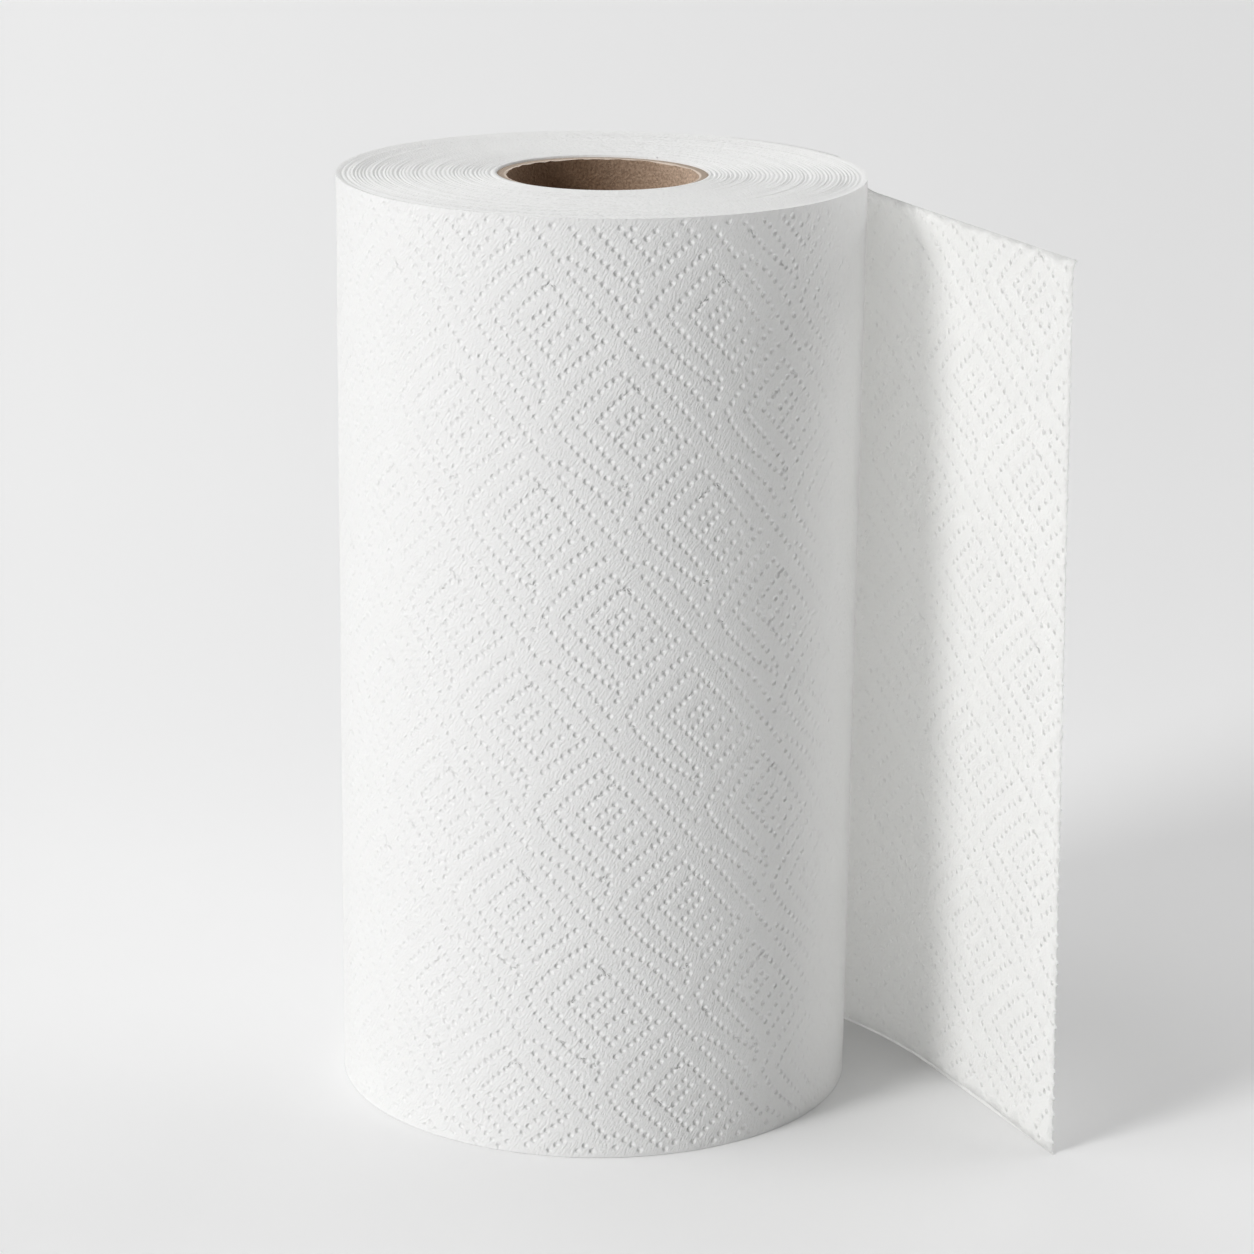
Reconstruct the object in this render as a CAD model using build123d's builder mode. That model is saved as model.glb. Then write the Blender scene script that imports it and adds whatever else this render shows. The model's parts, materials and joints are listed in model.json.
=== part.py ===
from build123d import *
from math import radians, tan
import os

# A kitchen paper towel roll standing on end, with its first sheet pulled loose.
# The origin is on the roll's axis, at the plane it stands on, and +Z is up.
# Sizes are in millimetres and angles in degrees.

# The wound roll
web_width = 230.0
roll_radius = 64.7
web_thickness = 0.5

# The cardboard tube that it is wound on
core_outer_radius = 25.75
core_wall = 2.4
core_recess = 0.5

# Turns that show as ridges on both cut ends
turn_pitch = 3.8
turn_depth = 0.6
ridge_drop = 0.05
plain_rim = 1.5

# The line where the first sheet leaves the roll, and the slit behind it
leave_angle = 60.0
slit_width = 0.3

# The first sheet. Both its edges turn through one angle, so that it bends only one way:
# the top edge hugs the rim while the bottom edge swings out wide, then both run straight.
bend_angle = 35.0
bottom_bend_radius = 135.0
bottom_free_length = 61.5
top_free_length = 113.8

# Its top edge has sagged below the rim, within a short run from where it leaves
sag_run = 20.0
sag_depth = 6.0
corner_sag = 6.2

# Its free edge was torn along a row of perforations
perforation_pitch = 3.7
perforation_bond = 1.1
tear_depth = 0.5
tooth_side_angle = 60.0

os.makedirs("parts", exist_ok=True)

# Room by which cutting shapes stand clear of what they cut
clear = 5.0

# The winding runs clockwise seen from above, and its section is drawn in a frame
# whose X axis points at the line where the sheet leaves.
winding_plane = Plane.XY.rotated((0, 0, leave_angle))
slit_floor_radius = roll_radius - web_thickness - slit_width


def half_turn(start_radius, end_radius, side):
    """Draw half a turn of the winding, from the X axis back to it on the other side."""
    start = (side * start_radius, 0)
    middle = (side * (start_radius - end_radius) / 2, -side * (start_radius + end_radius) / 2)
    end = (-side * end_radius, 0)
    ThreePointArc(start, middle, end)


def winding_section(height, bend_radius):
    """Sketch the roll's outer turn and the bend of the loose sheet as one closed outline."""
    section_plane = winding_plane.offset(height)
    middle_radius = (slit_floor_radius + roll_radius) / 2
    with BuildSketch(section_plane) as section:
        with BuildLine():
            outer = JernArc((roll_radius, 0), (0, -1), bend_radius, -bend_angle)
            inner_radius = roll_radius - web_thickness
            inner = JernArc((inner_radius, 0), (0, -1), bend_radius - web_thickness, -bend_angle)
            Line(outer @ 1, inner @ 1)
            Line((inner_radius, 0), (slit_floor_radius, 0))
            half_turn(slit_floor_radius, middle_radius, 1)
            half_turn(middle_radius, roll_radius, -1)
        make_face()
    return section.sketch, section_plane.from_local_coords(outer @ 1)


# Cardboard core, a plain tube whose top end has slipped a little below the paper's
with BuildPart() as core:
    with BuildSketch():
        Circle(core_outer_radius)
        Circle(core_outer_radius - core_wall, mode=Mode.SUBTRACT)
    extrude(amount=web_width - core_recess)
core.part.label = "core"
export_step(core.part, "parts/core.step")

# Ridges of the visible turns, from the first radius out to the plain rim
first_turn_radius = core_outer_radius + plain_rim
last_turn_radius = roll_radius - plain_rim - turn_pitch
turn_count = int((last_turn_radius - first_turn_radius) / turn_pitch)
turn_profile = [(last_turn_radius, -ridge_drop)]
for turn in range(turn_count):
    ridge_radius = last_turn_radius - turn * turn_pitch
    turn_profile.append((ridge_radius - turn_pitch / 2, -turn_depth))
    turn_profile.append((ridge_radius - turn_pitch, -ridge_drop))
turn_profile.append((last_turn_radius - turn_count * turn_pitch, clear))
turn_profile.append((last_turn_radius, clear))

# The web: the whole winding and its loose first sheet, one piece of paper
bottom_section, bottom_bend_end = winding_section(0, bottom_bend_radius)
top_section, top_bend_end = winding_section(web_width, roll_radius)

# Frame of the sheet's flat part: X runs along the sheet, and the origin is at the bottom
# of the line where the bend ends, which leans in a little towards the rim.
leave_plane = Plane.XY.rotated((0, 0, leave_angle - bend_angle))
heading = leave_plane.y_dir * -1
flat_plane = Plane(bottom_bend_end, heading, heading.cross(top_bend_end - bottom_bend_end))
bend_end_top = flat_plane.to_local_coords(top_bend_end)
bottom_corner = Vector(bottom_free_length, 0)
top_corner = bend_end_top + Vector(top_free_length, -corner_sag)

# Row of slits along the free edge
free_edge = top_corner - bottom_corner
free_edge_angle = Vector(1, 0).get_angle(free_edge)
slit_count = int(free_edge.length / perforation_pitch) + 1
slit_length = perforation_pitch - perforation_bond + tear_depth / tan(radians(tooth_side_angle))

with BuildPart() as paper_roll:
    loft([bottom_section, top_section], ruled=True)

    # Bore that the core fills
    with BuildSketch(Plane.XY.offset(-clear)):
        Circle(core_outer_radius)
    extrude(amount=web_width + 2 * clear, mode=Mode.SUBTRACT)

    # Spiral of turns on both ends, as half turns about two centres half a pitch apart
    for height, outward in ((0, -1), (web_width, 1)):
        end_plane = winding_plane.offset(height)
        profile_plane = Plane(end_plane.origin, end_plane.x_dir, end_plane.y_dir * -outward)
        for centre, arc in ((0, 180), (-turn_pitch / 2, -180)):
            with BuildSketch(profile_plane):
                with BuildLine():
                    Polyline(*turn_profile, close=True)
                make_face()
            turn_axis = Axis(end_plane.from_local_coords((centre, 0)), (0, 0, 1))
            revolve(axis=turn_axis, revolution_arc=arc, mode=Mode.SUBTRACT)

    # Flat part of the loose sheet, with its sagging top edge and its torn free edge
    with BuildSketch(flat_plane):
        with BuildLine():
            sag_end = bend_end_top + Vector(sag_run, -sag_depth)
            TangentArc(sag_end, bend_end_top, tangent=(-1, 0))
            Polyline(sag_end, top_corner, bottom_corner, (0, 0), bend_end_top)
        make_face()
        with Locations(Location(bottom_corner + free_edge * 0.5, free_edge_angle)):
            with GridLocations(perforation_pitch, 0, slit_count, 1):
                Trapezoid(slit_length, 2 * tear_depth, tooth_side_angle, mode=Mode.SUBTRACT)
    extrude(amount=web_thickness, dir=leave_plane.x_dir * -1)
paper_roll.part.label = "paper_roll"
export_step(paper_roll.part, "parts/paper_roll.step")
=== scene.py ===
import json
import math

import bpy
import numpy as np
from mathutils import Matrix, Vector, geometry


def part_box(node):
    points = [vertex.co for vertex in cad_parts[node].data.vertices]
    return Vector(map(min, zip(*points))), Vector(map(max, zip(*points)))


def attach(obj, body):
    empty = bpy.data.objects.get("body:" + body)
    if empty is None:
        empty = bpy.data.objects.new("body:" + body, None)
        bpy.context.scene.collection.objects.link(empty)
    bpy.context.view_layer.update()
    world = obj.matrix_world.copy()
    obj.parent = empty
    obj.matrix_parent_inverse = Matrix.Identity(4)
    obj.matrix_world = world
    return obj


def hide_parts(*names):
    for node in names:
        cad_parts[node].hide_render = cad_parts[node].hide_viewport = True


# A kitchen paper towel roll standing on end, with its first sheet pulled loose.
# The roll's sizes are in millimetres until its meshes are made. The camera, the floor and
# the lamps are placed in metres.

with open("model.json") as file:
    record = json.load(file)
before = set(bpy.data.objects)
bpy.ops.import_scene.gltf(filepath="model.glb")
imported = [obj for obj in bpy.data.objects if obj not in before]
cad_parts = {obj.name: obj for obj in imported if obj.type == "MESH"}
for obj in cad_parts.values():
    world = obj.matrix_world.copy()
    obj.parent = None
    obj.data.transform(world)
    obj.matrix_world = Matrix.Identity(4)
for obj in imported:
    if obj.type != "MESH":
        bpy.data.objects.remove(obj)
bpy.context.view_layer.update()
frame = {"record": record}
MM = 0.001
random = np.random.default_rng(7)

# Sizes read from the frame
web_width = (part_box("paper_roll")[1].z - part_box("paper_roll")[0].z) / MM
core_outer_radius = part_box("core")[1].x / MM
core_inner_radius = frame["record"]["mounts"][0]["dims"]["r_mm"]
core_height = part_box("core")[1].z / MM

# Sizes that the frame doesn't give, as its solids have them
roll_radius = 64.7
web_thickness = 0.5
slit_width = 0.3

# The line where the sheet leaves the roll. The web runs from there counterclockwise round
# the roll, one turn deeper when it comes back, and the sheet leaves the other way.
leave_angle = math.radians(60)
turn_drop = web_thickness + slit_width
wrap_length = 2 * math.pi * roll_radius

# The sheet's bend, as one stretch of a slanted cone, and the lengths of its flat part
bend_angle = math.radians(35)
bottom_bend_radius = 135.0
bottom_free_length = 61.5
top_free_length = 113.8
sag_run = 20.0
sag_depth = 6.0
corner_sag = 6.2


def add_object(name, data):
    """A new object in the scene."""
    added = bpy.data.objects.new(name, data)
    bpy.context.scene.collection.objects.link(added)
    return added


# Camera, placed to fit the outlines of the roll's two ends

lens_length = 110.793
camera_place = (0.00714, -0.92735, 0.38375)
camera_pitch = math.radians(16.1348)
camera_roll = math.radians(0.6637)


def make_camera():
    """The photograph's viewpoint: a long lens a little above the roll, tipped down."""
    data = bpy.data.cameras.new("camera")
    data.sensor_width = 36
    data.lens = lens_length
    camera = add_object("camera", data)
    forward = Vector((0, math.cos(camera_pitch), -math.sin(camera_pitch)))
    level_right = Vector((1, 0, 0))
    level_up = level_right.cross(forward)
    right = level_right * math.cos(camera_roll) + level_up * math.sin(camera_roll)
    up = level_up * math.cos(camera_roll) - level_right * math.sin(camera_roll)
    turn = Matrix((right, up, -forward)).transposed().to_4x4()
    camera.matrix_world = Matrix.Translation(camera_place) @ turn
    bpy.context.scene.camera = camera


# Lines and tables


def even_points(line, count):
    """Points at even distances along a flat polyline, with both its ends."""
    run = run_along(line)
    places = np.linspace(0, run[-1], count)
    return np.stack([np.interp(places, run, line[:, i]) for i in range(2)], axis=1)


def run_along(line):
    """How far along a polyline each of its points lies."""
    return np.concatenate([[0], np.cumsum(np.linalg.norm(np.diff(line, axis=0), axis=1))])


def spaced(line, step):
    """Points along a flat polyline about a step apart, with both its ends."""
    steps = int(round(run_along(line)[-1] / step))
    return even_points(line, max(2, steps + 1))


def look_up(places, table):
    """Values at places along a line, from a table of some places and their values."""
    return np.interp(places, *np.transpose(table))


# The embossed pattern

# Rows of dots in one repeat, from the tip of its outer chevron, with x along the web and y
# up: where each row starts, the point that its bend is drawn towards, where it ends, and
# how many dots it has
dot_rows = (
    ((0.0, 0.0), (2.6, 6.0), (14.3, 14.3), 10),
    ((0.9, -2.1), (4.4, -8.2), (15.9, -16.6), 11),
    ((5.0, -0.2), (9.4, 5.6), (16.0, 10.4), 8),
    ((6.3, -2.2), (10.6, -7.0), (14.9, -11.8), 7),
    ((16.6, -14.0), (18.9, -16.2), (17.2, -20.2), 4),
    ((10.4, -0.6), (14.0, 3.4), (19.0, 7.4), 7),
    ((11.9, -2.2), (16.2, -6.6), (20.4, -11.0), 7),
    ((17.7, 8.9), (17.7, 8.9), (17.7, 8.9), 1),
    ((20.3, 6.2), (24.6, 1.4), (29.4, -4.6), 7),
    ((15.4, -0.8), (17.1, 0.6), (18.8, 2.1), 3),
    ((16.3, -3.8), (18.4, -1.7), (20.5, 0.4), 4),
    ((19.4, -6.1), (21.4, -4.4), (23.5, -2.6), 3),
    ((21.9, -9.3), (23.8, -7.4), (25.8, -5.4), 3),
    ((21.5, -14.2), (26.5, -10.0), (31.5, -5.8), 7),
    ((1.9, -10.8), (10.4, -15.9), (15.6, -23.9), 9),
    ((17.5, -27.1), (17.5, -27.1), (17.5, -27.1), 1),
    ((1.7, -14.2), (10.6, -24.6), (19.5, -35.1), 13),
)
row_samples = 101

# Steps from one repeat to the next, as columns: one right and down, one right and up
wrap_steps = np.array(((19.9, 21.7), (-23.75, 24.0)))
spare_repeats = 2

# How unevenly the dots are placed and pressed
dot_jitter = 0.05
press_shares = (0.85, 1.15)

# Each dimple has one point on its floor and a ring of points round it
ring_points = 8
dimple_radius = 0.99

# No dimple's middle lies nearer than this to an edge
edge_margin = 1.15


def dots_of_row(start, towards, end, count):
    """Dots spaced evenly along a row that bends towards a point."""
    if count == 1:
        return np.array([start])
    t = np.linspace(0, 1, row_samples)[:, None]
    line = (1 - t) ** 2 * np.array(start) + 2 * t * (1 - t) * np.array(towards) + t * t * np.array(end)
    return even_points(line, count)


def dots_over(low, high, anchor, steps):
    """Dots of the pattern between two corners, with its repeats stretched to other steps."""
    stretch = steps @ np.linalg.inv(wrap_steps)
    motif = np.concatenate([dots_of_row(*row) for row in dot_rows]) @ stretch.T
    corners = np.array([[x, y] for x in (low[0], high[0]) for y in (low[1], high[1])]) - anchor
    counts = np.linalg.solve(steps, corners.T)
    first = np.floor(counts.min(axis=1)).astype(int) - spare_repeats
    last = np.ceil(counts.max(axis=1)).astype(int) + spare_repeats
    found = []
    for i in range(first[0], last[0] + 1):
        for j in range(first[1], last[1] + 1):
            found.append(motif + anchor + steps @ (i, j))
    dots = np.concatenate(found)
    return dots[np.all((dots > low) & (dots < high), axis=1)]


def uneven_press(places, depths):
    """How deep dimples at places along the web are pressed, from a table of depths."""
    return random.uniform(*press_shares, len(places)) * look_up(places, depths)


def with_dimples(outline, dots, press):
    """Flat points of an outline and its dimples, which of them are floors, and their places.

    A place is where a point lies in its dimple, with the ring at a distance of one, and how
    deep that dimple is pressed.
    """
    turn = (np.arange(ring_points) + 0.5) * 2 * math.pi / ring_points
    ring = np.stack([np.cos(turn), np.sin(turn)], axis=1)
    rings = (dots[:, None] + dimple_radius * ring).reshape(-1, 2)
    flat = np.concatenate([outline, dots, rings])
    first_floor = len(outline)
    first_ring = first_floor + len(dots)
    floor = np.zeros(len(flat))
    floor[first_floor:first_ring] = 1
    place = np.zeros((len(flat), 3))
    place[first_ring:, :2] = np.tile(ring, (len(dots), 1))
    place[first_floor:, 2] = np.concatenate([press, np.repeat(press, ring_points)])
    return flat, floor, place


# Meshes

# The triangulation's setting for triangles inside the outline, and how near its points merge
inside_outline = 1
merge_distance = 1e-7


def make_mesh(name, points, faces):
    """A smooth mesh object from points in millimetres and faces as index lists."""
    mesh = bpy.data.meshes.new(name)
    mesh.from_pydata((np.asarray(points) * MM).tolist(), [], faces)
    mesh.polygons.foreach_set("use_smooth", [True] * len(mesh.polygons))
    mesh.validate()
    return add_object(name, mesh)


def add_values(piece, name, values):
    """Store one number per point for the material to read."""
    attribute = piece.data.attributes.new(name, "FLOAT", "POINT")
    attribute.data.foreach_set("value", np.asarray(values, np.float32))


def add_vectors(piece, name, values):
    """Store two or three numbers per point for the material to read."""
    vectors = np.zeros((len(values), 3), np.float32)
    vectors[:, :values.shape[1]] = values
    attribute = piece.data.attributes.new(name, "FLOAT_VECTOR", "POINT")
    attribute.data.foreach_set("vector", vectors.ravel())


def band(low, high, count, closed):
    """Quads between two rows of points, each given by its first point's index."""
    quads = []
    for k in range(count if closed else count - 1):
        n = (k + 1) % count
        quads.append([low + k, low + n, high + n, high + k])
    return quads


def triangles_between(points, count):
    """Delaunay triangles of flat points, inside the outline that the first count of them make.

    A triangle with all its corners on the outline stays only where another one leaves a gap
    for it. The others are slivers along a straight edge.
    """
    vectors = [Vector(point) for point in points]
    _, _, triangles, sources, _, _ = geometry.delaunay_2d_cdt(
        vectors, [], [list(range(count))], inside_outline, merge_distance, True,
    )
    origins = np.array([source[0] if source else -1 for source in sources])
    if -1 in origins:
        raise RuntimeError("the outline crosses itself")
    faces = origins[np.array(triangles)]
    on_outline = np.all(faces < count, axis=1)
    kept, waiting = faces[~on_outline].tolist(), faces[on_outline].tolist()
    reached = kept
    while reached:
        inner_sides = {side for face in reached for side in sides_across(face, count)}
        reached = [face for face in waiting if inner_sides.intersection(sides_across(face, count))]
        waiting = [face for face in waiting if face not in reached]
        kept = kept + reached
    return kept


def sides_across(face, count):
    """A triangle's sides that join two outline points without lying on the outline."""
    pairs = [sorted(side) for side in zip(face, face[1:] + face[:1])]
    return {(a, b) for a, b in pairs if b < count and b - a not in (1, count - 1)}


# The wrap round the roll

# How many columns of points the wrap's edges and the two ends have, and how far apart points
# lie along other edges
turn_columns = 256
edge_step = 1.6

wrap_dimple_depth = 0.13

# How deep the dimples are at shares of the way round the roll: deepest on the side that
# faces front right, and pressed flat where the loose sheet was pulled off
wrap_presses = (
    (0.0, 0.34), (0.44, 0.34), (0.51, 0.52), (0.545, 0.66), (0.58, 0.88), (0.62, 1.15),
    (0.66, 1.4), (0.7, 0.9), (0.725, 0.45), (0.745, 0.22), (0.8, 0.15), (1.0, 0.15),
)

# Where the photograph shows one outer chevron's tip: in degrees round the roll from the
# leaving line, and as a height
tip_degrees = 199.2
tip_height = 136.0
wrap_anchor = np.array((wrap_length * tip_degrees / 360, tip_height))


def on_roll(web_x, height, depth):
    """Points of the wrap, web_x from the leaving line, pushed in by depth."""
    turn = web_x / wrap_length
    angle = leave_angle + turn * 2 * math.pi
    radius = roll_radius - turn_drop * turn - depth
    return np.stack([radius * np.cos(angle), radius * np.sin(angle), height + 0 * angle], axis=-1)


def wrap_outline():
    """The flat wrap's outline, counterclockwise from the foot of the leaving line."""
    around = np.linspace(0, wrap_length, turn_columns + 1)
    upright = np.arange(1, int(web_width / edge_step)) * edge_step
    return np.concatenate([
        np.stack([around, 0 * around], axis=1),
        np.stack([wrap_length + 0 * upright, upright], axis=1),
        np.stack([around[::-1], web_width + 0 * around], axis=1),
        np.stack([0 * upright, upright[::-1]], axis=1),
    ])


def make_wrap():
    """The outer turn of the web with its dimples."""
    low = np.array((edge_margin, edge_margin))
    high = np.array((wrap_length, web_width)) - edge_margin
    dots = dots_over(low, high, wrap_anchor, wrap_steps)
    dots = dots + random.normal(0, dot_jitter, dots.shape)
    press = uneven_press(dots[:, 0] / wrap_length, wrap_presses)
    outline = wrap_outline()
    flat, floor, place = with_dimples(outline, dots, press)
    depth = wrap_dimple_depth * floor * place[:, 2]
    faces = triangles_between(flat, len(outline))
    piece = make_mesh("paper_wrap", on_roll(flat[:, 0], flat[:, 1], depth), faces)
    add_values(piece, "floor", floor)
    add_vectors(piece, "place", place)
    add_vectors(piece, "web", flat)
    return piece


# The two cut ends

# Turns of paper as the ends show them: their pitch and how uneven it is, the depth of the
# grooves between them, and how far their crests lie below the end
shown_pitch = 1.0
pitch_shares = (0.7, 1.3)
groove_depths = (0.14, 0.5)
crest_drops = (0.0, 0.14)
rows_per_turn = 4

# How far the first and last crests lie from the core and the wrap, how wide the wrap's own
# edge is, and how much higher it stands than the turns
first_crest = 0.15
last_crest = 0.25
wrap_edge = 0.2
end_lip = 0.06


def make_end(name, height, facing, recess):
    """A cut end: a spiral of paper edges from the core to the wrap, as uneven as real turns.

    It faces up where facing is 1 and down where it is -1.
    """
    inner, outer = core_outer_radius, roll_radius - turn_drop
    count = int((outer - inner) / shown_pitch)
    pitches = random.uniform(*pitch_shares, count)
    room = outer - inner - first_crest - last_crest
    crests = inner + first_crest + np.concatenate([[0], np.cumsum(pitches) * room / pitches.sum()])
    grooves = random.uniform(*groove_depths, count + 1)
    drops = random.uniform(*crest_drops, count + 1)
    turns = np.arange(count + 1)
    rows = np.arange((count - 1) * rows_per_turn + 1) / rows_per_turn
    wave = (1 - np.cos(2 * math.pi * rows)) / 2
    columns = []
    for share in np.linspace(0, 1, turn_columns + 1):
        turn = rows + 1 - share
        crest = np.interp(turn, turns, crests)
        depth = wave * np.interp(turn, turns, grooves) + np.interp(turn, turns, drops) + end_lip
        wall = roll_radius - turn_drop * share
        radius = np.concatenate([[inner, inner], crest, [wall - wrap_edge, wall]])
        depth = np.concatenate([[recess, end_lip], depth, [0, 0]])
        angle = leave_angle + share * 2 * math.pi
        x, y = radius * math.cos(angle), radius * math.sin(angle)
        columns.append(np.stack([x, y, height - facing * depth], axis=1))
    points = np.concatenate(columns)
    piece = make_mesh(name, points, end_faces(len(columns[0]), facing))
    add_vectors(piece, "web", points[:, :2])
    return piece


def end_faces(per_column, facing):
    """Quads between a cut end's columns of points."""
    faces = []
    for column in range(turn_columns):
        low, high = (column * per_column, (column + 1) * per_column)[::facing]
        faces += band(low, high, per_column, closed=False)
    return faces


# The loose sheet's bend

bend_steps = 140


def bend_line(share, radius, centre_radius, height):
    """Points at shares of the bend on one of its two edges, which turn about their own centres."""
    angle = leave_angle - bend_angle * share
    x = centre_radius * math.cos(leave_angle) + radius * np.cos(angle)
    y = centre_radius * math.sin(leave_angle) + radius * np.sin(angle)
    return np.stack([x, y, height + 0 * angle], axis=-1)


shares = np.linspace(0, 1, bend_steps + 1)
bottom_line = bend_line(shares, bottom_bend_radius, roll_radius - bottom_bend_radius, 0.0)
top_line = bend_line(shares, roll_radius, 0.0, web_width)

# The rulings of the bend all pass through one point straight above the leaving line
apex_height = web_width * bottom_bend_radius / (bottom_bend_radius - roll_radius)
apex = np.array((*top_line[0][:2], apex_height))
bottom_reach = np.linalg.norm(bottom_line - apex, axis=1)
top_reach = np.linalg.norm(top_line - apex, axis=1)
ruling = (bottom_line - apex) / bottom_reach[:, None]
ruling_turn = np.concatenate([[0], np.cumsum(np.arccos(np.sum(ruling[1:] * ruling[:-1], axis=1)))])
whole_turn = ruling_turn[-1]

# Flat frame of the sheet: u along it and v up, from the bottom of the line where the bend ends
leave_heading = leave_angle - bend_angle
along = np.array((math.sin(leave_heading), -math.cos(leave_heading), 0.0))
outward = np.array((math.cos(leave_heading), math.sin(leave_heading), 0.0))
flat_origin = bottom_line[-1]
up_plane = np.cross(along, np.cross(top_line[-1] - flat_origin, along))
up_plane = up_plane / np.linalg.norm(up_plane)
apex_flat = np.array((np.dot(apex - flat_origin, along), np.dot(apex - flat_origin, up_plane)))
last_ruling_flat = -apex_flat / np.linalg.norm(apex_flat)
sheet_normal = np.cross(up_plane, along)
sheet_normal = sheet_normal * np.sign(np.dot(sheet_normal, outward))


def flat_of_bend(reach, turn):
    """Flat points at distances from the apex and turns from the bend's last ruling."""
    c, s = np.cos(turn), np.sin(turn)
    direction = np.stack([
        last_ruling_flat[0] * c - last_ruling_flat[1] * s,
        last_ruling_flat[1] * c + last_ruling_flat[0] * s,
    ], axis=-1)
    return apex_flat + direction * reach[:, None]


def on_sheet(flat, offset):
    """Points of the bent sheet, offset outwards from its outer face by a distance each."""
    from_apex = flat - apex_flat
    across = last_ruling_flat[0] * from_apex[:, 1] - last_ruling_flat[1] * from_apex[:, 0]
    turn = np.arctan2(across, from_apex @ last_ruling_flat)
    place = flat_origin + flat[:, :1] * along + flat[:, 1:] * up_plane
    normal = np.repeat(sheet_normal[None], len(flat), axis=0)
    bent = turn < 0
    reach = np.linalg.norm(from_apex[bent], axis=1)
    share = np.interp(whole_turn + turn[bent], ruling_turn, shares)
    direction, bend_normal = ruling_at(share)
    place[bent] = apex + direction * reach[:, None]
    normal[bent] = bend_normal
    return place + normal * offset[:, None]


def ruling_at(share):
    """Directions of the bend's rulings at shares of it, and the sheet's outward normals there."""
    direction = unit(np.stack([np.interp(share, shares, ruling[:, i]) for i in range(3)], axis=1))
    angle = leave_angle - bend_angle * share
    tangent = np.stack([np.sin(angle), -np.cos(angle), 0 * angle], axis=1)
    normal = unit(np.cross(tangent, direction))
    return direction, normal * np.sign(np.sum(normal * outward, axis=1))[:, None]


def unit(vectors):
    """Vectors of length one, row by row."""
    return vectors / np.linalg.norm(vectors, axis=1)[:, None]


# The loose sheet's outline

# Points on the sagging stretch of its top edge, and how far apart they lie on its free edge
sag_points = 14
torn_step = 0.3

# Tufts of torn fibre on the free edge, where the perforation held: how far apart they are,
# and shares of that to vary it by
tuft_pitch = 3.7
pitch_range = (0.75, 1.2)
# How far the edge is torn back between them, and shares of that for the tufts' own heights,
# which fade along the edge from the floor up. The two corners have tufts of full height.
tuft_height = 1.35
height_range = (0.6, 1.0)
height_fade = ((0.0, 1.0), (0.3, 0.75), (0.6, 0.4))
width_range = (0.35, 0.65)
corner_width = 1.8

# A slow wave in the edge's line, which leaves out tips above this share of the full height
edge_wave = 0.1
edge_wave_length = 47.0
tip_share = 0.95

# How thin the torn edge is
torn_thickness = 0.08


def sheet_outline():
    """The sheet's four flat edges, counterclockwise: bottom, free edge, top, leaving line."""
    turns = ruling_turn - whole_turn
    bottom_bend = flat_of_bend(bottom_reach, turns)
    top_bend = flat_of_bend(top_reach, turns)
    bottom_corner = np.array((bottom_free_length, 0.0))
    top_corner = top_bend[-1] + (top_free_length, -corner_sag)
    bottom = spaced(np.concatenate([bottom_bend, [bottom_corner]]), edge_step)
    t = np.linspace(0, 1, sag_points + 1)[1:]
    sag = top_bend[-1] + np.stack([sag_run * t, -sag_depth * (1 - (1 - t) ** 2)], axis=1)
    top = spaced(np.concatenate([top_bend, sag, [top_corner]])[::-1], edge_step)
    free = torn_edge(bottom_corner, top_corner)
    leave = spaced(np.array([top_bend[0], bottom_bend[0]]), edge_step)
    return bottom, free, top, leave


def torn_edge(start, end):
    """The free edge from its bottom corner up, with a tuft at each bond of the perforation."""
    length = np.linalg.norm(end - start)
    forward = (end - start) / length
    out = np.array((forward[1], -forward[0]))
    tufts = [0.0]
    while tufts[-1] < length - 2 * tuft_pitch:
        tufts.append(tufts[-1] + tuft_pitch * random.uniform(*pitch_range))
    tufts.append(length)
    place = np.linspace(0, length, int(length / torn_step) + 1)
    held = np.zeros(len(place))
    for tuft in tufts:
        height = random.uniform(*height_range) * look_up(tuft / length, height_fade)
        height = 1.0 if tuft in (0.0, length) else height
        width = random.uniform(*width_range) if tuft < length else corner_width
        held = np.maximum(held, height * np.exp(-((place - tuft) / width) ** 2))
    wave = edge_wave * (1 - np.cos(2 * math.pi * place / edge_wave_length)) / 2
    back = tuft_height * (1 - held) + np.where(held > tip_share, 0, wave)
    return start + place[:, None] * forward - back[:, None] * out


def well_inside(points, outline, margin):
    """Which points lie inside a closed outline, at least a margin from it."""
    inside = np.zeros(len(points), bool)
    near = np.full(len(points), np.inf)
    for a, b in zip(outline, np.roll(outline, -1, axis=0)):
        crosses = (a[1] > points[:, 1]) != (b[1] > points[:, 1])
        if crosses.any():
            slope = (b[0] - a[0]) / (b[1] - a[1])
            inside ^= crosses & (points[:, 0] < a[0] + (points[:, 1] - a[1]) * slope)
        edge = b - a
        t = np.clip((points - a) @ edge / (edge @ edge), 0, 1)
        near = np.minimum(near, np.linalg.norm(points - a - t[:, None] * edge, axis=1))
    return inside & (near > margin)


# The loose sheet

inner_dimple_depth = 0.24
outer_dimple_depth = 0.16
# How deep the dimples are at places along the sheet, shallower where it bends
sheet_presses = ((-60.0, 0.6), (-5.0, 0.6), (12.0, 0.8), (60.0, 1.05))
# The inner ply's own pattern, as the photograph shows it on the sheet's flat part
inner_anchor = np.array((28.7, 118.2))
inner_steps = np.array(((27.2, 28.8), (-19.8, 27.3)))

# How far the inner ply ends above the outer one along the bottom edge, at places along it
ply_step = ((-80.0, 0.5), (-25.0, 0.5), (5.0, 0.85), (30.0, 1.0), (46.0, 0.35), (56.0, 0.0))
# Where the two plies part there, measured from the outer face, and where the outer one ends
ply_parting = ((-80.0, -0.3), (-4.0, -0.3), (8.0, -0.18), (38.0, -0.18), (50.0, -0.42))
outer_foot = -0.5
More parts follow.
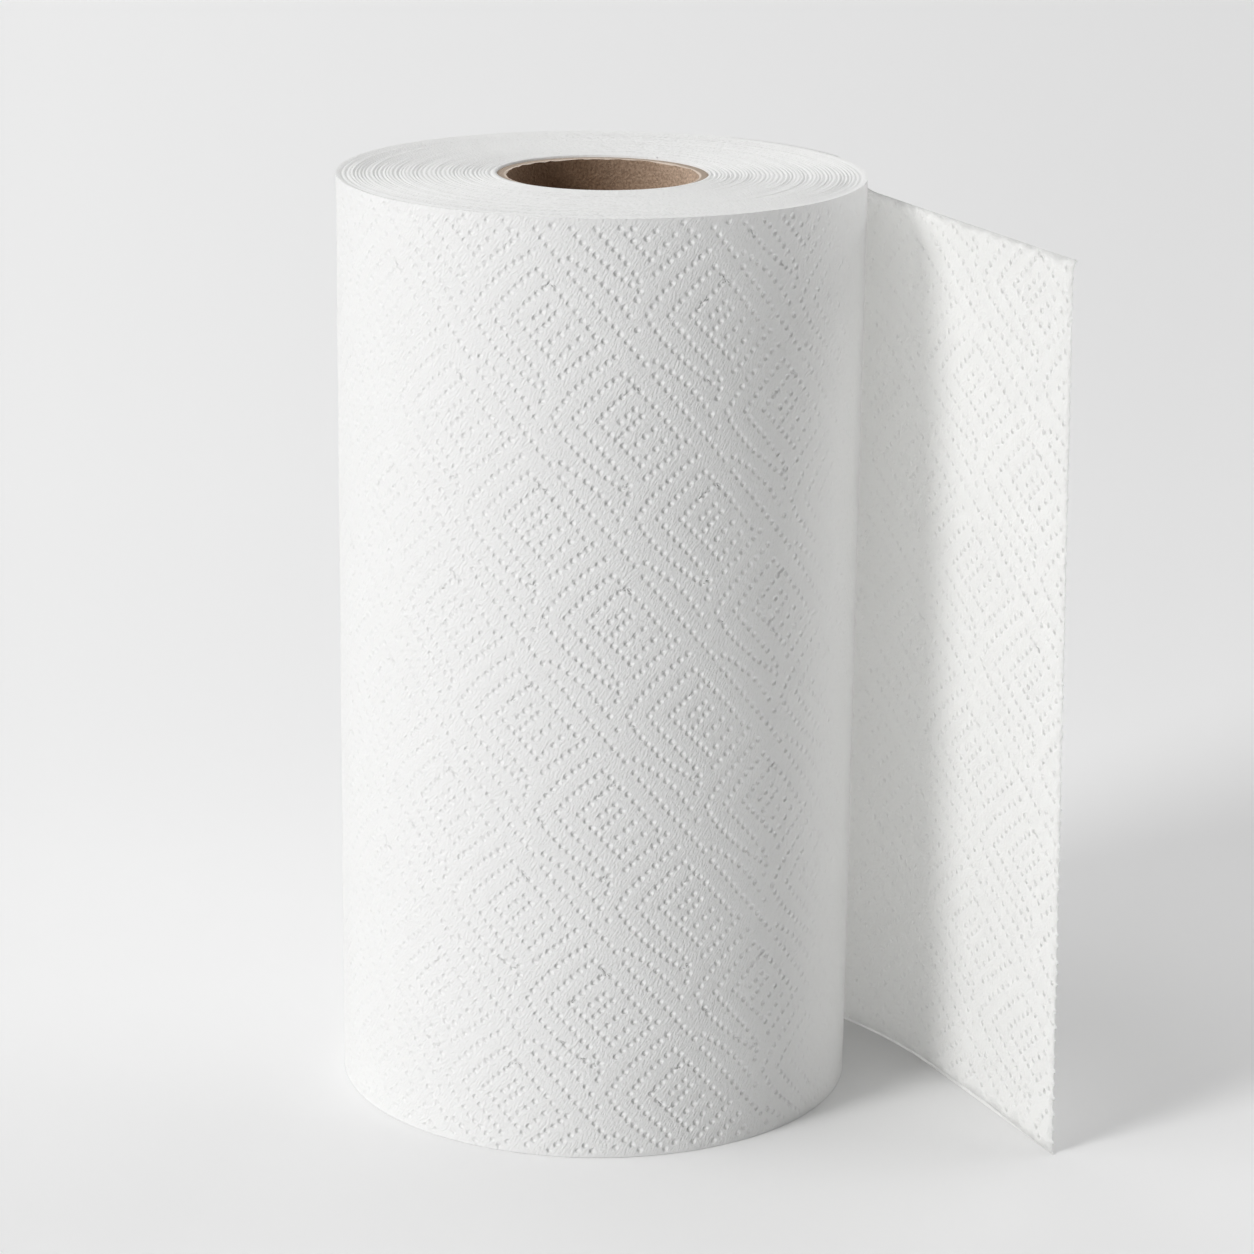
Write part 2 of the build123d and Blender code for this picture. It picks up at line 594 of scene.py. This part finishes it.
# The gap between the plies along the top, as a groove: where its two walls lie, measured
# from the outer face, and its depth
inner_gap_wall = -0.32
outer_gap_wall = -0.18
top_gap_depth = 0.15
# Painted shade in the gap along the top: how dark it looks; and, below zero, a painted
# highlight along the bottom edge: how pale it is painted
top_painted_shade = ((0.0, 1.0), (110.0, 0.3))
bottom_painted_highlight = ((-5.0, -1.2), (5.0, 0.0))

# How far beyond the sheet the wrap's pattern is laid out before it is cut to the sheet
pattern_reach = 300.0
pattern_spare = 20.0


def outer_dots(low, high):
    """The wrap's own pattern carried on over the outer face of the sheet."""
    first = np.array((-pattern_reach, -pattern_spare))
    last = np.array((-edge_margin, web_width + pattern_spare))
    from_apex = dots_over(first, last, wrap_anchor, wrap_steps) - (0.0, apex_height)
    turn = np.arctan2(-from_apex[:, 0], -from_apex[:, 1])
    flat = flat_of_bend(np.linalg.norm(from_apex, axis=1), turn - whole_turn)
    return flat[np.all((flat > low) & (flat < high), axis=1)]


def sheet_face(outline, rim_offset, dots, offset, push):
    """One face of the sheet: its points, triangles, flat points, dimple floors and places.

    Its dimples are pushed outwards on the inner face and inwards on the outer one.
    """
    dots = dots + random.normal(0, dot_jitter, dots.shape)
    dots = dots[well_inside(dots, outline, edge_margin)]
    press = uneven_press(dots[:, 0], sheet_presses)
    flat, floor, place = with_dimples(outline, dots, press)
    offsets = offset + push * floor * place[:, 2]
    offsets[:len(outline)] = rim_offset
    faces = triangles_between(flat, len(outline))
    if push > 0:
        faces = [face[::-1] for face in faces]
    return on_sheet(flat, offsets), faces, flat, floor, place


def rim_row(outline, offset):
    """A row of the sheet's rim, in the same form as a face but without triangles or dimples."""
    return on_sheet(outline, offset), [], outline, np.zeros(len(outline)), np.zeros((len(outline), 3))


def make_sheet():
    """The loose sheet: two faces with dimples, and a rim of two plies round them."""
    edges = [edge[:-1] for edge in sheet_outline()]
    outline = np.concatenate(edges)
    side = np.repeat(("bottom", "free", "top", "leave"), [len(edge) for edge in edges])
    bottom, free, top = side == "bottom", side == "free", side == "top"
    inner_outline = outline.copy()
    inner_outline[bottom, 1] += look_up(outline[bottom, 0], ply_step)
    inner_offset = np.full(len(outline), -web_thickness)
    outer_offset = np.where(free, torn_thickness - web_thickness, 0.0)

    low, high = outline.min(axis=0), outline.max(axis=0)
    dots = dots_over(low, high, inner_anchor, inner_steps)
    inner = sheet_face(inner_outline, inner_offset, dots, -web_thickness, inner_dimple_depth)
    outer = sheet_face(outline, outer_offset, outer_dots(low, high), 0.0, -outer_dimple_depth)

    rim = []
    for share, face_outline, gap_wall, foot in (
        (1 / 3, inner_outline, inner_gap_wall, look_up(outline[bottom, 0], ply_parting)),
        (2 / 3, outline, outer_gap_wall, outer_foot),
    ):
        offset = inner_offset * (1 - share) + outer_offset * share
        offset[top] = gap_wall
        offset[bottom] = foot
        rim.append(rim_row(face_outline - np.outer(top, (0, top_gap_depth)), offset))
    # Painted shade along the top rim, and below zero a painted highlight along the bottom rim
    painted_shade_and_highlight = top * look_up(outline[:, 0], top_painted_shade) + bottom * look_up(outline[:, 0], bottom_painted_highlight)
    return join_sheet([inner, *rim, outer], painted_shade_and_highlight)


def join_sheet(rows, rim_painted_shade_and_highlight):
    """One closed mesh from the rows of the rim, the first and last of them with a face."""
    count = len(rim_painted_shade_and_highlight)
    points, row_faces, flats, floors, places = zip(*rows)
    starts = np.cumsum([0] + [len(p) for p in points]).tolist()[:-1]
    faces = [[k + start for k in face] for start, part in zip(starts, row_faces) for face in part]
    smooth_count = len(faces)
    for low, high in zip(starts[:-1], starts[1:]):
        faces += band(low, high, count, closed=True)
    piece = make_mesh("loose_sheet", np.concatenate(points), faces)
    piece.data.polygons.foreach_set("use_smooth", np.arange(len(faces)) < smooth_count)
    # Only the rim's rows carry the painted shade and highlight
    painted_shade_and_highlight = np.zeros(len(piece.data.vertices))
    for start in starts[1:-1]:
        painted_shade_and_highlight[start:start + count] = rim_painted_shade_and_highlight
    add_values(piece, "floor", np.concatenate(floors))
    add_vectors(piece, "place", np.concatenate(places))
    add_values(piece, "painted_shade_and_highlight", painted_shade_and_highlight)
    add_vectors(piece, "web", np.concatenate(flats))
    return piece


# The cardboard tube

core_columns = 360
column_angles = np.arange(core_columns) * 2 * math.pi / core_columns

# Rows of points inside the tube: close together near the top, where they are seen
fine_depth = 27.0
fine_step = 0.75
coarse_depth = 30.0
coarse_rows = 10

# The spiral seam: how far it climbs for each radian, and where it meets the cut end
seam_lead = 28.0
seam_angle = math.radians(39)
# The ply lapped over it: how far it stands in, how wide its edge is, and how far it thins out
lap_height = 0.3
lap_edge = 0.4
lap_run = 14.0
# Wrinkles beside the seam: distance from it round the tube, and height
wrinkles = ((4.6, 0.16), (9.1, 0.2), (10.6, 0.1), (-5.5, 0.08))
wrinkle_width = 0.45

# The cut end, from the inner wall out: share of the wall's thickness, how much of the torn
# edge's unevenness reaches there, and how far it lies below the tube's height
cut_profile = (
    (0.0, 1.0, 0.0), (0.12, 0.3, 0.0), (0.25, 0.0, 0.1), (0.6, 0.0, 0.05), (0.95, 0.0, 0.1), (1.0, 0.0, 0.3),
)
# The torn edge's unevenness, as a fine and a coarse line round it: how many random heights
# each has, and how large they get
tears = ((90, 0.3), (30, 0.2))

# How far across the wall's thickness a point lies, for the material: this on the inner wall,
# and from 0 to 1 on the cut end
inner_wall = -1.0

# How pale the board is painted round its inside, in degrees: its plies' seam parts dark from
# pale, and painted light and shade make it palest where the inside faces the light from the
# left and dark where it lies in shade
board_tones_and_painted_light = (
    (-180, 0.05), (-90, 0.4), (0, 0.9), (30, 1.0), (60, 0.55), (100, 0.12), (108, 0.0), (180, 0.05),
)


def wall_rise(height):
    """How far the inner wall stands in from its radius, in each column at a height."""
    away = seam_angle - column_angles + (height - core_height) / seam_lead
    away = (away + math.pi) % (2 * math.pi) - math.pi
    away = away * core_inner_radius
    lap = np.clip((away + lap_edge / 2) / lap_edge, 0, 1) * np.clip(1 - away / lap_run, 0, 1)
    rise = lap_height * lap
    for place, size in wrinkles:
        rise = rise + size * np.exp(-((away - place) / wrinkle_width) ** 2)
    return rise


def board_tone_and_painted_light(height):
    """Board tone with painted light and shade in each column at a height, in bands along the seam."""
    wound = np.degrees(column_angles - (height - core_height) / seam_lead)
    return look_up((wound + 180) % 360 - 180, board_tones_and_painted_light)


def uneven_ring(knots, size):
    """Uneven heights round the tube, one for each column."""
    values = random.uniform(0, size, knots)
    places = np.arange(core_columns) * knots / core_columns
    return np.interp(places, np.arange(knots + 1), np.append(values, values[0]))


def tube_ring(radius, height):
    """Points round the tube, one in each column, at a radius and a height."""
    x, y = radius * np.cos(column_angles), radius * np.sin(column_angles)
    return np.stack([x, y, height + 0 * x], axis=1)


def core_rings(heights):
    """Rings of points up the inner wall, out over the cut end, down outside and in below."""
    torn = sum(uneven_ring(*tear) for tear in tears)
    edge_radius = core_inner_radius - wall_rise(core_height)
    rings = []
    for height in heights:
        level = np.minimum(height, core_height - torn)
        rings.append(tube_ring(core_inner_radius - wall_rise(height), level))
    for share, torn_share, drop in cut_profile:
        radius = edge_radius + (core_outer_radius - edge_radius) * share
        rings.append(tube_ring(radius, core_height - torn_share * torn - drop))
    rings.append(tube_ring(core_outer_radius, core_height - cut_profile[-1][2]))
    rings.append(tube_ring(core_outer_radius, 0.0))
    rings.append(tube_ring(core_inner_radius - wall_rise(0.0), 0.0))
    return rings


def make_core():
    """The tube that the paper is wound on, with a spiral seam inside and a rough cut end."""
    coarse = np.linspace(0, core_height - coarse_depth, coarse_rows)
    fine = np.arange(core_height - fine_depth, core_height, fine_step)
    heights = [*coarse, *fine, core_height]
    rings = core_rings(heights)
    # The rings at the two rims of the cut end are doubled, to keep its corners sharp
    corners = (len(heights) - 1, len(heights) + len(cut_profile) - 1)
    faces = []
    for k in range(len(rings) - 1):
        if k not in corners:
            faces += band((k + 1) * core_columns, k * core_columns, core_columns, closed=True)
    piece = make_mesh("core_tube", np.concatenate(rings), faces)
    cut_rings = [share for share, _, _ in cut_profile] + [1.0] * 3
    # The board's tone with painted light and shade, which the cut end keeps from the top ring
    tones_and_painted_light = [board_tone_and_painted_light(height) for height in heights]
    tones_and_painted_light += [tones_and_painted_light[-1]] * len(cut_rings)
    add_values(piece, "across", np.repeat([inner_wall] * len(heights) + cut_rings, core_columns))
    add_values(piece, "tone_and_painted_light", np.concatenate(tones_and_painted_light))
    return piece


# Parts of materials


def new_material(name, roughness, gloss):
    """A node material, with its node tree and its shader."""
    material = bpy.data.materials.new(name)
    material.use_nodes = True
    shader = material.node_tree.nodes["Principled BSDF"]
    shader.inputs["Roughness"].default_value = roughness
    shader.inputs["Specular IOR Level"].default_value = gloss
    return material, material.node_tree, shader


def feed(tree, socket, value):
    """Link another node's output to a socket, or set the socket to a constant."""
    if isinstance(value, bpy.types.NodeSocket):
        tree.links.new(value, socket)
    else:
        socket.default_value = value


def read_points(tree, name):
    """A node that reads what the mesh stores at its points under a name."""
    node = tree.nodes.new("ShaderNodeAttribute")
    node.attribute_name = name
    return node


def calculate(tree, operation, first, second):
    """The result of one operation on two values."""
    node = tree.nodes.new("ShaderNodeMath")
    node.operation = operation
    feed(tree, node.inputs[0], first)
    feed(tree, node.inputs[1], second)
    return node.outputs["Value"]


def map_range(tree, value, first, last, smooth=False):
    """A value mapped between two pairs of a value and its result, and held beyond them."""
    node = tree.nodes.new("ShaderNodeMapRange")
    node.interpolation_type = "SMOOTHSTEP" if smooth else "LINEAR"
    node.inputs["From Min"].default_value = first[0]
    node.inputs["To Min"].default_value = first[1]
    node.inputs["From Max"].default_value = last[0]
    node.inputs["To Max"].default_value = last[1]
    feed(tree, node.inputs["Value"], value)
    return node.outputs["Result"]


def noise(tree, place, scale, detail, roughness):
    """Cloudy noise over a place."""
    node = tree.nodes.new("ShaderNodeTexNoise")
    node.inputs["Scale"].default_value = scale
    node.inputs["Detail"].default_value = detail
    node.inputs["Roughness"].default_value = roughness
    feed(tree, node.inputs["Vector"], place)
    return node.outputs["Fac"]


def ramp(tree, value, *stops):
    """A colour that runs between two stops, each a value and a colour."""
    node = tree.nodes.new("ShaderNodeValToRGB")
    for element, (position, color) in zip(node.color_ramp.elements, stops):
        element.position = position
        element.color = (*color, 1)
    feed(tree, node.inputs["Fac"], value)
    return node.outputs["Color"]


def blend(tree, factor, first, second, held=True):
    """A blend of two colours. The factor is held between 0 and 1 or reaches beyond."""
    node = tree.nodes.new("ShaderNodeMix")
    node.data_type = "RGBA"
    node.clamp_factor = held
    feed(tree, node.inputs["Factor"], factor)
    feed(tree, node.inputs["A"], first)
    feed(tree, node.inputs["B"], second)
    return node.outputs["Result"]


def bump(tree, height, depth, normal=None):
    """A normal tilted by a height pattern, of which a height of 1 is depth millimetres."""
    node = tree.nodes.new("ShaderNodeBump")
    node.inputs["Distance"].default_value = depth * MM
    feed(tree, node.inputs["Height"], height)
    if normal is not None:
        feed(tree, node.inputs["Normal"], normal)
    return node.outputs["Normal"]


# Paper

# Where a dimple's rounded profile starts and ends, as shares of its radius
round_start = 0.05
round_end = 0.92
# The mesh's value floor falls from 1 on a dimple's floor to 0 at its ring. Above this it
# counts as inside.
within_dimple = 0.003

# Grain of the creping: how much longer than wide, how many per millimetre, and its noise
grain_stretch = 2.2
grain_scale = 1.9
grain_detail = 1
grain_roughness = 0.5

# How dark paper is at a full painted shade, as a share of its own colour; below zero the
# same blend paints it paler as a painted highlight
full_painted_shade = 0.25


def rounded_dimples(tree, press):
    """Normal of paper pressed in at each dimple, by a smooth round profile press millimetres deep."""
    place = read_points(tree, "place").outputs["Vector"]
    floor = read_points(tree, "floor").outputs["Fac"]
    flat = tree.nodes.new("ShaderNodeVectorMath")
    flat.operation = "MULTIPLY"
    feed(tree, flat.inputs[0], place)
    feed(tree, flat.inputs[1], (1, 1, 0))
    away = tree.nodes.new("ShaderNodeVectorMath")
    away.operation = "LENGTH"
    feed(tree, away.inputs[0], flat.outputs["Vector"])
    profile = map_range(tree, away.outputs["Value"], (round_start, -1), (round_end, 0), smooth=True)
    parts = tree.nodes.new("ShaderNodeSeparateXYZ")
    feed(tree, parts.inputs["Vector"], place)
    deep = calculate(tree, "MULTIPLY", profile, parts.outputs["Z"])
    inside = calculate(tree, "GREATER_THAN", floor, within_dimple)
    return bump(tree, calculate(tree, "MULTIPLY", deep, inside), press)


def let_light_through(tree, shader, color, through, normal):
    """Paint the rim's shade and highlight as the mesh says, and add the light shining through the sheet."""
    painted_shade_color = [full_painted_shade * part for part in color]
    painted_shade_and_highlight = read_points(tree, "painted_shade_and_highlight").outputs["Fac"]
    # Darker by the painted shade, and paler by the painted highlight below zero
    feed(tree, shader.inputs["Base Color"], blend(tree, painted_shade_and_highlight, (*color, 1), (*painted_shade_color, 1), held=False))
    glow = tree.nodes.new("ShaderNodeBsdfTranslucent")
    glow.inputs["Color"].default_value = (*through, 1)
    feed(tree, glow.inputs["Normal"], normal)
    both = tree.nodes.new("ShaderNodeAddShader")
    feed(tree, both.inputs[0], shader.outputs["BSDF"])
    feed(tree, both.inputs[1], glow.outputs["BSDF"])
    feed(tree, tree.nodes["Material Output"].inputs["Surface"], both.outputs["Shader"])


def paper_material(name, color, creping, slant, press=None, through=None):
    """White tissue: soft and matt, with fine creping that runs at a slant in degrees.

    With a press it has dimples, and with through it lets that colour of light through and takes
    the rim's painted shade and highlight from the mesh.
    """
    material, tree, shader = new_material(name, roughness=0.95, gloss=0.15)
    material.cycles.use_bump_map_correction = False
    shader.inputs["Base Color"].default_value = (*color, 1)
    grain = tree.nodes.new("ShaderNodeMapping")
    grain.vector_type = "TEXTURE"
    grain.inputs["Rotation"].default_value = (0, 0, math.radians(slant))
    grain.inputs["Scale"].default_value = (grain_stretch, 1, 1)
    feed(tree, grain.inputs["Vector"], read_points(tree, "web").outputs["Vector"])
    fibres = noise(tree, grain.outputs["Vector"], grain_scale, grain_detail, grain_roughness)
    dimples = rounded_dimples(tree, press) if press else None
    normal = bump(tree, fibres, creping, dimples)
    feed(tree, shader.inputs["Normal"], normal)
    if through:
        let_light_through(tree, shader, color, through, normal)
    return material


# Board

# The board's mottles: how many to a metre, their noise, and how deep they are
mottle_scale = 1.6 / MM
mottle_detail = 5
mottle_roughness = 0.65
mottle_depth = 0.5

# Between these values of the noise, dark board in painted shade and pale board in painted
# light run from one colour to another
mottle_low = 0.34
mottle_high = 0.66
dark_board_and_painted_shade = ((0.2, 0.125, 0.077), (0.37, 0.245, 0.16))
pale_board_and_painted_light = ((0.51, 0.368, 0.267), (0.91, 0.695, 0.535))

# Colours of the cut end at shares of the wall's thickness: palest at its torn inner edge
torn_board = (0.15, (0.86, 0.73, 0.62))
cut_board = (0.3, (0.5, 0.4, 0.32))


def board_material():
    """Unbleached board: brown and mottled inside with painted light and shade, paler where cut."""
    material, tree, shader = new_material("core_board", roughness=0.85, gloss=0.2)
    place = tree.nodes.new("ShaderNodeTexCoord").outputs["Object"]
    mottle = noise(tree, place, mottle_scale, mottle_detail, mottle_roughness)
    dark, pale = (
        ramp(tree, mottle, (mottle_low, low), (mottle_high, high))
        for low, high in (dark_board_and_painted_shade, pale_board_and_painted_light)
    )
    # Dark and pale board blend by the tone, which carries painted light and shade
    inside = blend(tree, read_points(tree, "tone_and_painted_light").outputs["Fac"], dark, pale)
    across = read_points(tree, "across").outputs["Fac"]
    is_cut = calculate(tree, "GREATER_THAN", across, inner_wall / 2)
    color = blend(tree, is_cut, inside, ramp(tree, across, torn_board, cut_board))
    feed(tree, shader.inputs["Base Color"], color)
    feed(tree, shader.inputs["Normal"], bump(tree, mottle, mottle_depth))
    return material


# The floor

floor_half_width = 12.0
floor_drop = 0.0001

# Painted falloff of the light from the left: the floor's tone falls from left to right over a
# fan that opens from a point in front of the roll.
# How far in front that point is, and the least distance from it that counts
fan_distance = 0.93
fan_nearest = 0.6
# Two shares of x over that distance, and their tones, which paint that falloff
left_painted_falloff = (-0.15, 0.97)
right_painted_falloff = (0.15, 0.845)
# Two distances behind the roll, and how much paler it is there
near_tone = (0.1, 0.0)
far_tone = (0.6, 0.03)


def floor_material():
    """A pale floor, a little darker towards the right by painted falloff, as far as the picture reaches."""
    material, tree, shader = new_material("floor", roughness=0.9, gloss=0.0)
    place = tree.nodes.new("ShaderNodeSeparateXYZ")
    feed(tree, place.inputs["Vector"], tree.nodes.new("ShaderNodeTexCoord").outputs["Object"])
    away = calculate(tree, "ADD", place.outputs["Y"], fan_distance)
    away = calculate(tree, "MAXIMUM", away, fan_nearest)
    aside = calculate(tree, "DIVIDE", place.outputs["X"], away)
    # Painted falloff of the light from the left
    tone_and_painted_light = map_range(tree, aside, left_painted_falloff, right_painted_falloff)
    paler = map_range(tree, place.outputs["Y"], near_tone, far_tone)
    feed(tree, shader.inputs["Base Color"], calculate(tree, "ADD", tone_and_painted_light, paler))
    return material


def make_floor():
    """A wide plain floor, just under the end that the roll stands on."""
    r = floor_half_width
    corners = [(x, y, -floor_drop) for x, y in ((-r, -r), (r, -r), (r, r), (-r, r))]
    mesh = bpy.data.meshes.new("floor")
    mesh.from_pydata(corners, [], [[0, 1, 2, 3]])
    floor = add_object("floor", mesh)
    floor.data.materials.append(floor_material())


# Light

# Lamps so far off that their light falls evenly: the key light and a higher one from the
# left, and broad ones from the right, the back and above. For each, its azimuth and
# elevation and how wide it is seen, in degrees, and its strength.
far_lamps = {
    "key": (-142, 24, 18, 1.8),
    "high_left": (-165, 62, 30, 0.6),
    "right": (40, 25, 60, 1.016),
    "back": (110, 25, 60, 0.574),
    "overhead": (0, 89, 60, 0.635),
}

# A soft lamp on the right, which shines through the loose sheet
side_place = Vector((0.65, -0.05, 0.3))
side_aim = Vector((0.1, -0.03, 0.1))
side_size = 0.35
side_power = 0.591

world_strength = 0.01


def towards(azimuth, elevation):
    """Unit vector from the roll towards a direction."""
    a, e = math.radians(azimuth), math.radians(elevation)
    return Vector((math.cos(a) * math.cos(e), math.sin(a) * math.cos(e), math.sin(e)))


def add_lamp(name, kind, strength, direction):
    """A lamp that shines from a direction."""
    data = bpy.data.lights.new(name, kind)
    data.energy = strength
    lamp = add_object(name, data)
    lamp.rotation_euler = direction.to_track_quat("Z", "Y").to_euler()
    return lamp


def make_light():
    """The far lamps, the side lamp, which isn't seen itself, and a faint even world."""
    for name, (azimuth, elevation, width, strength) in far_lamps.items():
        lamp = add_lamp(name, "SUN", strength, towards(azimuth, elevation))
        lamp.data.angle = math.radians(width)
    side = add_lamp("side", "AREA", side_power, side_place - side_aim)
    side.data.size = side_size
    side.location = side_place
    side.visible_camera = False
    world = bpy.data.worlds.new("world")
    world.use_nodes = True
    background = world.node_tree.nodes["Background"]
    background.inputs["Color"].default_value = (1, 1, 1, 1)
    background.inputs["Strength"].default_value = world_strength
    bpy.context.scene.world = world


# The whole scene

# How far the paper ends' inner walls reach along the core, past its rims
top_overlap = 0.3
bottom_overlap = 0.1

make_camera()
wrap = make_wrap()
top_end = make_end("top_end", web_width, 1, web_width - core_height + top_overlap)
bottom_end = make_end("bottom_end", 0.0, -1, bottom_overlap)
sheet = make_sheet()
core = make_core()

paper = paper_material("paper", (0.9, 0.9, 0.893), creping=0.28, slant=55, press=0.6)
ply = paper_material(
    "paper_ply", (0.46, 0.46, 0.456), creping=0.25, slant=55, press=0.36, through=(0.52, 0.52, 0.515),
)
cut_edges = paper_material("paper_edges", (0.92, 0.92, 0.912), creping=0.3, slant=0)
for piece, material in ((wrap, paper), (sheet, ply), (top_end, cut_edges), (bottom_end, cut_edges)):
    piece.data.materials.append(material)
core.data.materials.append(board_material())

for piece in (wrap, top_end, bottom_end, sheet):
    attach(piece, "root")
    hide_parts("paper_roll")
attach(core, "root")
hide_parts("core")

make_floor()
make_light()
bpy.context.scene.view_settings.view_transform = "Standard"
